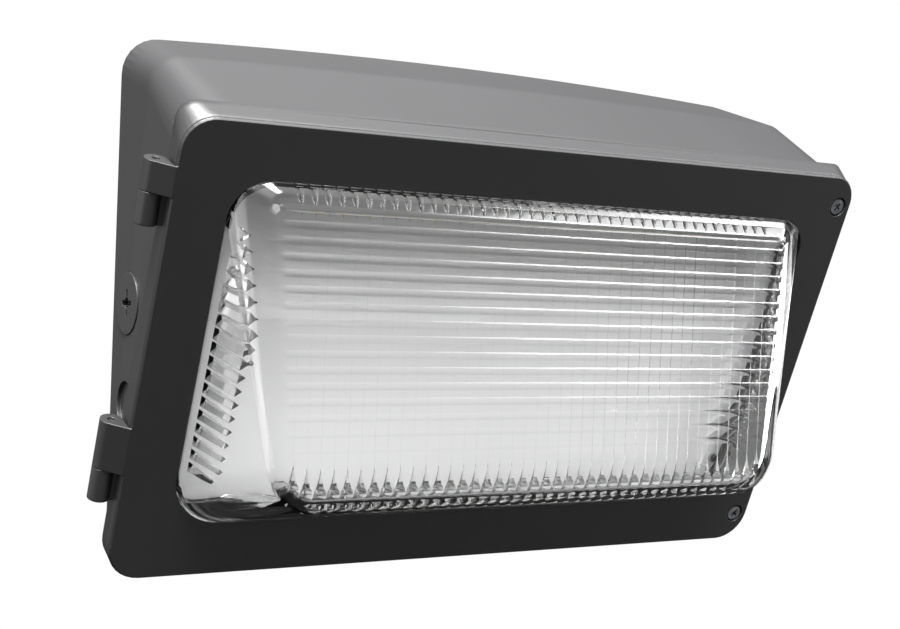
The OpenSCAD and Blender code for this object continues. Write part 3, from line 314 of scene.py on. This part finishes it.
mill_aluminium, tree, shader = start_material("mill_aluminium", Metallic=1.0, Roughness=0.34)
place = place_in_mm(tree)
stretch = (ROLLING_STRETCH, 1.0, 1.0)
along = add_node(tree, "ShaderNodeMapping", Vector=place, Scale=stretch).outputs[0]
rolling = noise(tree, along, ROLLING_LINE_MM, detail=3.0)
tree.links.new(blend_colours(tree, rolling, "#c6c8ca", "#dadcde"), shader.inputs["Base Color"])
tree.links.new(blend_range(tree, rolling, *ROLLING_GLOSS), shader.inputs["Roughness"])
bump(tree, shader, rolling, ROLLING_DEPTH_MM)

green_steel = plated_steel("green_passivated_steel", "#2f7a45", 0.35, light="#57a86c")

# %% [markdown]
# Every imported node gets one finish. Its faces are shaded smooth, and an edge stays sharp where two
# faces meet at more than 31 degrees, so round walls look round and corners stay crisp.

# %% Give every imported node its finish
finish_of = {
    "housing": housing_coat,
    "conduit_plugs": housing_coat,
    "hinge_pins": zinc,
    "door_frame": door_coat,
    "door_gasket": silicone,
    "refractor": pressed_glass,
    "refractor_gasket": clear_silicone,
    "glass_clips": zinc,
    "clip_screws": zinc,
    "door_screw_upper": painted_dark_screw_steel,
    "door_screw_lower": painted_dark_screw_steel,
    "screw_retainers": nylon,
    "reflector": white_enamel,
    "reflector_screws": zinc,
    "heat_shelf": mill_aluminium,
    "shelf_screws": zinc,
    "led_board": solder_mask,
    "led_packages": phosphor,
    "board_screws": zinc,
    "board_connector": nylon,
    "driver_case": mill_aluminium,
    "driver_end_caps": black_plastic,
    "driver_screws": zinc,
    "terminal_block": nylon,
    "terminal_screws": zinc,
    "ground_screw": green_steel,
    "input_leads": lead_jacket,
    "output_leads": lead_jacket,
}
SHARP_ABOVE = math.radians(31)


def dress(piece, finish, sharp_above=SHARP_ABOVE):
    """One finish on all faces, shaded smooth but for edges that are steeper than this angle."""
    mesh = piece.data
    mesh.materials.clear()
    mesh.materials.append(finish)
    mesh.polygons.foreach_set("material_index", [0] * len(mesh.polygons))
    mesh.shade_smooth()
    mesh.set_sharp_from_angle(angle=sharp_above)


for name, node in nodes.items():
    dress(node, finish_of[name])
print("finished", len(nodes), "packed nodes")

# %% [markdown]
# The glass is the heart of this light, so it is built anew from its own sizes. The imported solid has
# the same form with few facets; this one has round edges with enough faces to bend light well.
# Two frames are used: the wall's, and the door's, which leans out at the top by 22 degrees.
# A point on the door is given by its place across, its depth behind the door's face and its height
# up the slope. Sizes are in millimetres.

# %% The door's own axes
DOOR_LEAN = math.radians(22.0)
DOOR_STAND_OFF = 52.0108
DOOR_DROP = 26.0
DOOR_HALF_HEIGHT = 105.5


def door_point(across, depth, up):
    """Point on the door's axes to a point on the wall's axes, in mm."""
    y = -DOOR_STAND_OFF + depth * math.cos(DOOR_LEAN) - up * math.sin(DOOR_LEAN)
    z = -DOOR_DROP + depth * math.sin(DOOR_LEAN) + up * math.cos(DOOR_LEAN)
    return Vector((across, y, z))


def door_depth(out, up):
    """Depth on the door's axes of a point that is this far out from the wall."""
    return (up * math.sin(DOOR_LEAN) + DOOR_STAND_OFF - out) / math.cos(DOOR_LEAN)


print("top of the door's plane in mm:", [round(v, 1) for v in door_point(0, 0, DOOR_HALF_HEIGHT)])

# %% [markdown]
# A mesh helper turns points and faces into an object; with no faces it stretches a skin over the
# points. Another lofts sections of equal length into one closed skin, which is how the ribs and the
# flutes are made: each section is drawn once, and the skin follows.


# %% Mesh helpers
def new_piece(name, points_mm, faces=()):
    """Object from points in mm. With no faces it is their convex hull."""
    form = bmesh.new()
    corners = [form.verts.new(Vector(p) * MM) for p in points_mm]
    if faces:
        for face in faces:
            form.faces.new([corners[i] for i in face])
    else:
        bmesh.ops.convex_hull(form, input=form.verts)
        loose = [v for v in form.verts if not v.link_faces]
        bmesh.ops.delete(form, geom=loose, context="VERTS")
    bmesh.ops.recalc_face_normals(form, faces=form.faces)
    mesh = bpy.data.meshes.new(name)
    form.to_mesh(mesh)
    form.free()
    piece = bpy.data.objects.new(name, mesh)
    bpy.context.scene.collection.objects.link(piece)
    return piece


def lofts(name, skins):
    """One object with a closed skin through each list of sections of equally many points."""
    points, faces = [], []
    for sections in skins:
        start, size = len(points), len(sections[0])
        points += [p for section in sections for p in section]
        for i in range(len(sections) - 1):
            for k in range(size):
                a, b = start + i * size + k, start + i * size + (k + 1) % size
                faces.append((a, a + size, b + size, b))
        faces.append([start + k for k in range(size)])
        faces.append([start + (len(sections) - 1) * size + k for k in reversed(range(size))])
    return new_piece(name, points, faces)


def combine(piece, operation, tool):
    """Joins the tool to the piece, or cuts it out, for good."""
    step = piece.modifiers.new(operation.lower(), "BOOLEAN")
    step.operation, step.object, step.solver = operation, tool, "MANIFOLD"
    bpy.context.view_layer.update()
    evaluated = piece.evaluated_get(bpy.context.evaluated_depsgraph_get())
    result = bpy.data.meshes.new_from_object(evaluated)
    old = piece.data
    piece.modifiers.clear()
    piece.data = result
    bpy.data.meshes.remove(old)
    bpy.data.objects.remove(tool)


# %% [markdown]
# The crosses of the door screws stand askew in the photograph. So a copy of each packed screw is
# turned on its axis, which the ring of points at the shank's end gives. The heads are flat, as they
# were packed, though the pieces' names say domed.

# %% Turned door screws
SCREW_TURN = math.radians(35)
END_RING = 0.1
inward = door_point(0, 1, 0) - door_point(0, 0, 0)
for end in ("upper", "lower"):
    name = "door_screw_" + end
    node = nodes[name]
    screw_mesh = node.data.copy()
    screw_mesh.transform(node.matrix_world)
    screw = bpy.data.objects.new("domed_" + name, screw_mesh)
    bpy.context.scene.collection.objects.link(screw)
    depths = [inward.dot(v.co) for v in screw_mesh.vertices]
    ring_depth = max(depths) - END_RING * MM
    end_ring = [v.co for v, depth in zip(screw_mesh.vertices, depths) if depth > ring_depth]
    centre = sum(end_ring, Vector()) / len(end_ring)
    turned = Matrix.Rotation(SCREW_TURN, 4, inward)
    screw_mesh.transform(Matrix.Translation(centre) @ turned @ Matrix.Translation(-centre))
    dress(screw, painted_dark_screw_steel)
    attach(screw, end + "_screw")
    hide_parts(name)
    print(name, "turned:", len(screw.data.polygons), "faces")

# %% [markdown]
# The outer form is a skin stretched over the window in the leaning door and over an upright front
# with round corners and a rolled edge. At its top and bottom it rises half a millimetre from the
# door before it leaves for the front. The mould's plug is the same form, drawn in by the wall.

# %% The glass's form, and the form of the plug that hollowed it
WINDOW_HALF, WINDOW_LOW, WINDOW_HIGH = 155.7, -78.2, 80.9
WINDOW_R_TOP, WINDOW_R_BOTTOM = 17.7, 22.7
LIP_BACK, FLANGE_FRONT, FLANGE_BACK, FLANGE_WIDTH = 3.0, 4.0, 8.0, 3.8
FRONT_OUT, FRONT_LOW, FRONT_HIGH = 86.0, -87.58, 45.79
FRONT_HALF_TOP, FRONT_HALF_BOTTOM = 145.3, 139.0
FRONT_R_TOP, FRONT_R_BOTTOM = 10.0, 24.0
EDGE_R, GLASS_WALL = 7.0, 4.0
TOP_EDGE_R, RISE, RISE_R_SHARE = 2.2, 0.5, 0.3
CORNER_LEAST_SHARE, CORNER_LIFT_SHARE, BOTTOM_DRAW_SHARE = 0.25, 0.5, 0.5
ARC_STEPS = 12
OVERRUN = 0.5


def quarter(centre_u, centre_v, radius, first):
    """Points of a quarter circle, as (u, v), from the angle first in degrees."""
    angles = [math.radians(first + 90 * i / ARC_STEPS) for i in range(ARC_STEPS + 1)]
    return [(centre_u + radius * math.cos(a), centre_v + radius * math.sin(a)) for a in angles]


def window_outline(grow):
    """The window's outline on the door, as (across, up), grown by this much."""
    half, low, high = WINDOW_HALF + grow, WINDOW_LOW - grow, WINDOW_HIGH + grow
    r_top, r_bottom = WINDOW_R_TOP + grow, WINDOW_R_BOTTOM + grow
    return (
        quarter(half - r_top, high - r_top, r_top, 0)
        + quarter(r_top - half, high - r_top, r_top, 90)
        + quarter(r_bottom - half, low + r_bottom, r_bottom, 180)
        + quarter(half - r_bottom, low + r_bottom, r_bottom, 270)
    )


def front_outline(draw_sides, draw_top, draw_bottom):
    """The front's outline, as (across, height), with its sides, top and bottom drawn in."""
    r_top = max(FRONT_R_TOP - draw_sides, CORNER_LEAST_SHARE * FRONT_R_TOP)
    r_bottom = FRONT_R_BOTTOM - draw_sides
    top = FRONT_HIGH - FRONT_R_TOP - draw_top + min(draw_sides, CORNER_LIFT_SHARE * FRONT_R_TOP)
    bottom = FRONT_LOW + FRONT_R_BOTTOM + draw_bottom - draw_sides
    x_top, x_bottom = FRONT_HALF_TOP - FRONT_R_TOP, FRONT_HALF_BOTTOM - FRONT_R_BOTTOM
    return (
        quarter(x_top, top, r_top, 0)
        + quarter(-x_top, top, r_top, 90)
        + quarter(-x_bottom, bottom, r_bottom, 180)
        + quarter(x_bottom, bottom, r_bottom, 270)
    )


def glass_form(name, inset):
    """The glass's outer form or, with an inset, the form of the plug, which runs past its back."""
    past = OVERRUN if inset else 0
    points = []
    for depth in (LIP_BACK - past, FLANGE_BACK + past):
        points += [door_point(x, depth, up) for x, up in window_outline(-inset)]
    for i in range(ARC_STEPS + 1):
        turn = math.radians(90 * i / ARC_STEPS)
        back = EDGE_R * (1 - math.cos(turn))
        draw = EDGE_R * (1 - math.sin(turn))
        y = -FRONT_OUT + inset + back
        flat = max(0, TOP_EDGE_R - back)
        draw_top = TOP_EDGE_R - math.sqrt(TOP_EDGE_R**2 - flat**2)
        draw_bottom = BOTTOM_DRAW_SHARE * draw
        front = front_outline(draw + inset, draw_top + inset, draw_bottom + inset)
        points += [(x, y, z) for x, z in front]
    if not inset:
        low_end = WINDOW_LOW + RISE_R_SHARE * WINDOW_R_BOTTOM
        high_end = WINDOW_HIGH - RISE_R_SHARE * WINDOW_R_TOP
        rim = [(x, up) for x, up in window_outline(0) if not low_end < up < high_end]
        points += [door_point(x, -RISE, up) for x, up in rim]
    return new_piece(name, points)


def front_half(z):
    """Half width of the front at this height."""
    straight = FRONT_HIGH - FRONT_LOW - FRONT_R_TOP - FRONT_R_BOTTOM
    share = (z - FRONT_LOW - FRONT_R_BOTTOM) / straight
    return FRONT_HALF_BOTTOM + (FRONT_HALF_TOP - FRONT_HALF_BOTTOM) * share


glass = glass_form("prismatic_glass", 0)
rim = window_outline(FLANGE_WIDTH)
flange = [[door_point(x, depth, up) for x, up in rim] for depth in (FLANGE_FRONT, FLANGE_BACK)]
combine(glass, "UNION", lofts("flange", [flange]))
print("outer form:", len(glass.data.polygons), "faces")

# %% [markdown]
# Sixteen shallow ribs run across the front. Each is a bar with a domed section, so it bends the
# view up or down and shows as a band that is light above and dark below. The bars' ends fade out,
# and the lowest ones are shallower, because their bands are fainter in the photograph.

# %% Ribs across the front
RIB_COUNT, RIB_PITCH, RIB_START, RIB_END_IN = 16, 6.6, 6.8, 8.6
RIB_WIDTH, RIB_HEIGHT, RIB_END_LENGTH = 3.4, 0.6, 2.2
RIB_STEPS, RIB_END_STEPS = 14, 5
RIB_TIP_HEIGHT = 0.01
LAST_RIB_LOSS, LOSS_POWER = 0.5, 8


def rib_section(x, z, height):
    """Section of a rib at x: a dome on the glass's front, with its foot sunk into the wall."""
    across = [2 * i / RIB_STEPS - 1 for i in range(RIB_STEPS + 1)]
    dome = [(x, -FRONT_OUT - height * (1 - u * u), z + u * RIB_WIDTH / 2) for u in across]
    foot_y = -FRONT_OUT + OVERRUN
    return dome + [(x, foot_y, z + RIB_WIDTH / 2), (x, foot_y, z - RIB_WIDTH / 2)]


def rib(z, full_height):
    """Sections of a rib from left to right, whose height rises and falls by a quarter wave."""
    half = front_half(z) - RIB_END_IN
    ends = [i / RIB_END_STEPS for i in range(1, RIB_END_STEPS + 1)]
    left = [(-half + e * RIB_END_LENGTH, full_height * math.sin(e * math.pi / 2)) for e in ends]
    left = [(-half, RIB_TIP_HEIGHT)] + left
    right = [(-x, height) for x, height in reversed(left)]
    return [rib_section(x, z, height) for x, height in left + right]


ribs = []
for i in range(RIB_COUNT):
    down = i / (RIB_COUNT - 1)
    height = RIB_HEIGHT * (1 - LAST_RIB_LOSS * down**LOSS_POWER)
    ribs.append(rib(FRONT_HIGH - RIB_START - i * RIB_PITCH, height))
combine(glass, "UNION", lofts("ribs", ribs))
combine(glass, "DIFFERENCE", glass_form("plug", GLASS_WALL))
print("with", RIB_COUNT, "ribs and hollowed:", len(glass.data.polygons), "faces")

# %% [markdown]
# Inside are the flutes. On the glass's floor they stand side by side with pointed tops. They turn
# up the front, sharpen to spikes and thin out to fine lines, which are stronger towards the right,
# and swell again where they reach the ceiling. Side flutes lie across the side walls. They are
# taller on the left than on the right, to come near to what the photograph shows through each end.
# Each flute is a ridge: a triangle that is carried along a path, with its own height and width at
# each station.

# %% Flutes inside
FLUTE_PITCH, FLUTE_HEIGHT, FLUTE_HALF = 6.3, 2.4, 3.08
LINE_HEIGHT, LINE_HALF = 0.22, 0.36
LINE_LEAST, LINE_FROM, LINE_TO = 0.25, -10.0, 120.0
TOP_FLUTE_HEIGHT, TOP_FLUTE_HALF = 1.0, 2.2
TOP_START_SHARE, TOP_TURNS = 0.5, (math.radians(30), math.radians(60))
SPIKE_LENGTH, SPIKE_STEPS, SPIKE_CURVE, SPIKE_ROOT_SHARE = 9.0, 6, 1.3, 0.8
TOP_SPIKE_LENGTH = 3.5
SIDE_FLUTE_HEIGHTS, SIDE_FLUTE_LENGTH, SIDE_FLUTE_LEAST = (3.0, 1.0), 17.0, 0.6
SIDE_FLUTE_SEAT = 0.8


def ridge(stations):
    """Sections of a ridge. A station is place, inward direction, height, half width and across."""
    sections = []
    for place, inward, height, half, across in stations:
        place, inward, across = Vector(place), Vector(inward), Vector(across)
        foot = place - OVERRUN * inward
        sections.append([foot - half * across, foot + half * across, place + height * inward])
    return sections


def flute(x, lift):
    """A flute at x, whose floor part is lifted where the front's corner is round."""
    across = (1, 0, 0)
    face = -FRONT_OUT + GLASS_WALL
    swell = min(1, max(0, (x - LINE_FROM) / (LINE_TO - LINE_FROM)))
    line = LINE_LEAST + (1 - LINE_LEAST) * swell
    line_height, line_half = line * LINE_HEIGHT, line * LINE_HALF
    low, high = FRONT_LOW + GLASS_WALL + lift, FRONT_HIGH - GLASS_WALL
    foot = door_point(x, FLANGE_FRONT, WINDOW_LOW + GLASS_WALL + lift)
    head = door_point(x, FLANGE_FRONT, WINDOW_HIGH - GLASS_WALL)
    stations = [(foot, (0, 0, 1), FLUTE_HEIGHT, FLUTE_HALF, across)]
    for i in range(ARC_STEPS):
        turn = math.pi / 2 * i / ARC_STEPS
        y, z = face + EDGE_R * (1 - math.sin(turn)), low + EDGE_R * (1 - math.cos(turn))
        inward = (0, math.sin(turn), math.cos(turn))
        stations.append(((x, y, z), inward, FLUTE_HEIGHT, FLUTE_HALF, across))
    for i in range(SPIKE_STEPS + 1):
        gone = i / SPIKE_STEPS
        left = (1 - gone) ** SPIKE_CURVE
        height = line_height + (SPIKE_ROOT_SHARE * FLUTE_HEIGHT - line_height) * left
        half = line_half + (SPIKE_ROOT_SHARE * FLUTE_HALF - line_half) * left
        z = low + EDGE_R + gone * SPIKE_LENGTH
        stations.append(((x, face, z), (0, 1, 0), height, half, across))
    z = high - TOP_EDGE_R
    stations.append(((x, face, z - TOP_SPIKE_LENGTH), (0, 1, 0), line_height, line_half, across))
    height, half = TOP_START_SHARE * TOP_FLUTE_HEIGHT, TOP_START_SHARE * TOP_FLUTE_HALF
    stations.append(((x, face, z), (0, 1, 0), height, half, across))
    for turn in TOP_TURNS:
        y = face + TOP_EDGE_R * (1 - math.cos(turn))
        z = high - TOP_EDGE_R * (1 - math.sin(turn))
        inward = (0, math.cos(turn), -math.sin(turn))
        stations.append(((x, y, z), inward, TOP_FLUTE_HEIGHT, TOP_FLUTE_HALF, across))
    stations.append((head, (0, 0, -1), TOP_FLUTE_HEIGHT, TOP_FLUTE_HALF, across))
    return ridge(stations)


def side_flute(up, side):
    """A short flute across a side wall at this height up the door, or None if it has no room."""
    floor = FRONT_LOW + GLASS_WALL + EDGE_R
    front = max(
        -SIDE_FLUTE_LENGTH,
        door_depth(FRONT_OUT - GLASS_WALL - EDGE_R, up),
        (floor + DOOR_DROP - up * math.cos(DOOR_LEAN)) / math.sin(DOOR_LEAN),
    )
    if front > -SIDE_FLUTE_LEAST:
        return None
    full = door_depth(FRONT_OUT - GLASS_WALL, up)
    draw = WINDOW_HALF - front_half(door_point(0, full, up).z)
    root = WINDOW_HALF - GLASS_WALL + SIDE_FLUTE_SEAT
    inward = (-side, 0, 0)
    height = SIDE_FLUTE_SEAT + SIDE_FLUTE_HEIGHTS[side > 0]
    slope = (0, -side * math.sin(DOOR_LEAN), side * math.cos(DOOR_LEAN))
    stations = []
    for depth in (0.0, front):
        x = root - draw * (FLANGE_FRONT - depth) / (FLANGE_FRONT - full)
        stations.append((door_point(side * x, depth, up), inward, height, FLUTE_HALF, slope))
    return ridge(stations)


last = math.floor((FRONT_HALF_BOTTOM - FRONT_R_BOTTOM / 2) / FLUTE_PITCH)
flutes = []
for i in range(-last, last + 1):
    past_corner = max(0, abs(i) * FLUTE_PITCH - (FRONT_HALF_BOTTOM - FRONT_R_BOTTOM))
    lift = FRONT_R_BOTTOM - math.sqrt(FRONT_R_BOTTOM**2 - past_corner**2)
    flutes.append(flute(i * FLUTE_PITCH, lift))
combine(glass, "UNION", lofts("flutes", flutes))

side_length = WINDOW_HIGH - WINDOW_LOW - WINDOW_R_BOTTOM - WINDOW_R_TOP
side_count = math.floor(side_length / FLUTE_PITCH)
side_ups = [WINDOW_LOW + WINDOW_R_BOTTOM + i * FLUTE_PITCH for i in range(side_count + 1)]
side_flutes = [side_flute(up, side) for up in side_ups for side in (-1, 1)]
side_flutes = [sections for sections in side_flutes if sections]
combine(glass, "UNION", lofts("side_flutes", side_flutes))
print("with", len(flutes), "flutes and", len(side_flutes), "side flutes")

# %% Finish the glass
GLASS_SHARP_ABOVE = math.radians(30)
dress(glass, pressed_glass, GLASS_SHARP_ABOVE)
weighted = glass.modifiers.new("even_shading", "WEIGHTED_NORMAL")
weighted.keep_sharp = True
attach(glass, "door")
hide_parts("refractor")
print("finished glass:", len(glass.data.polygons), "faces")

# %% [markdown]
# The studio is a dark room with large soft boxes, far enough away to be part of the world. Each one
# has an axis, an outer and an inner angle between which it fades out, and a strength. The
# photograph's front faces are darkest, its left faces lighter and its upper faces lightest, and the
# ribs carry thin bright lines that fade to the left: this sets where the boxes are and how strong.
# The strengths were then matched to the tones of the photograph's main faces.
# The camera sees a plain white ground, as in the photograph. The pale floor is only a backdrop, so
# its light doesn't reach the door.

# %% Studio
ROOM_LIGHT = 0.02
SOFT_BOXES = [
    ("overhead", (-0.1, 0.2, 1.0), 60, 35, 1.15),
    ("steep_front", (-0.1, -0.35, 0.9), 25, 12, 70.0),
    ("rib_edges", (0.68, -0.37, 0.64), 14, 6, 16.0),
    ("left_front", (-0.45, -0.55, 0.7), 30, 15, 5.6),
    ("left", (-0.98, -0.2, 0.1), 30, 18, 4.2),
    ("left_back", (-0.75, 0.6, 0.1), 40, 20, 0.7),
    ("right", (0.95, 0.15, -0.1), 25, 12, 3.0),
    ("low_front", (0.5, -0.6, -0.6), 70, 35, 0.3),
]

world = bpy.data.worlds.new("studio_room")
bpy.context.scene.world = world
world.use_nodes = True
room = world.node_tree
background = room.nodes["Background"]
background.inputs["Color"].default_value = (1, 1, 1, 1)
direction = add_node(room, "ShaderNodeTexCoord").outputs["Generated"]
light = ROOM_LIGHT
for name, axis, outer, inner, strength in SOFT_BOXES:
    axis = Vector(axis).normalized()
    near = add_node(
        room, "ShaderNodeVectorMath", {"operation": "DOT_PRODUCT"}, i0=direction, i1=axis
    ).outputs["Value"]
    box = add_node(
        room,
        "ShaderNodeMapRange",
        {"interpolation_type": "SMOOTHSTEP", "label": name},
        i0=near,
        i1=math.cos(math.radians(outer)),
        i2=math.cos(math.radians(inner)),
        i3=0.0,
        i4=strength,
    ).outputs[0]
    light = add_node(room, "ShaderNodeMath", {"operation": "ADD"}, i0=light, i1=box).outputs[0]
seen = add_node(room, "ShaderNodeLightPath").outputs["Is Camera Ray"]
shown = add_node(room, "ShaderNodeMix", {"data_type": "FLOAT"}, i0=seen, i2=light, i3=1.0)
room.links.new(shown.outputs[0], background.inputs["Strength"])
print("soft boxes:", [box[0] for box in SOFT_BOXES])

# %% Floor
FLOOR_R_M, FLOOR_DROP_M, FLOOR_SEGMENTS, FLOOR_CLOUD_MM = 4.5, 1.5, 96, 300.0
floor_mesh = bpy.data.meshes.new("pale_floor")
floor_form = bmesh.new()
bmesh.ops.create_circle(floor_form, cap_ends=True, segments=FLOOR_SEGMENTS, radius=FLOOR_R_M)
floor_form.to_mesh(floor_mesh)
floor_form.free()
floor = bpy.data.objects.new("pale_floor", floor_mesh)
floor.location = (0, 0, -FLOOR_DROP_M)
bpy.context.scene.collection.objects.link(floor)
floor.visible_diffuse = floor.visible_glossy = floor.visible_transmission = False
floor_paint, tree, shader = start_material("pale_floor_paint", Roughness=0.8)
cloud = noise(tree, place_in_mm(tree), FLOOR_CLOUD_MM)
tree.links.new(blend_colours(tree, cloud, "#fbfbfb", "#fdfdfd"), shader.inputs["Base Color"])
floor_mesh.materials.append(floor_paint)
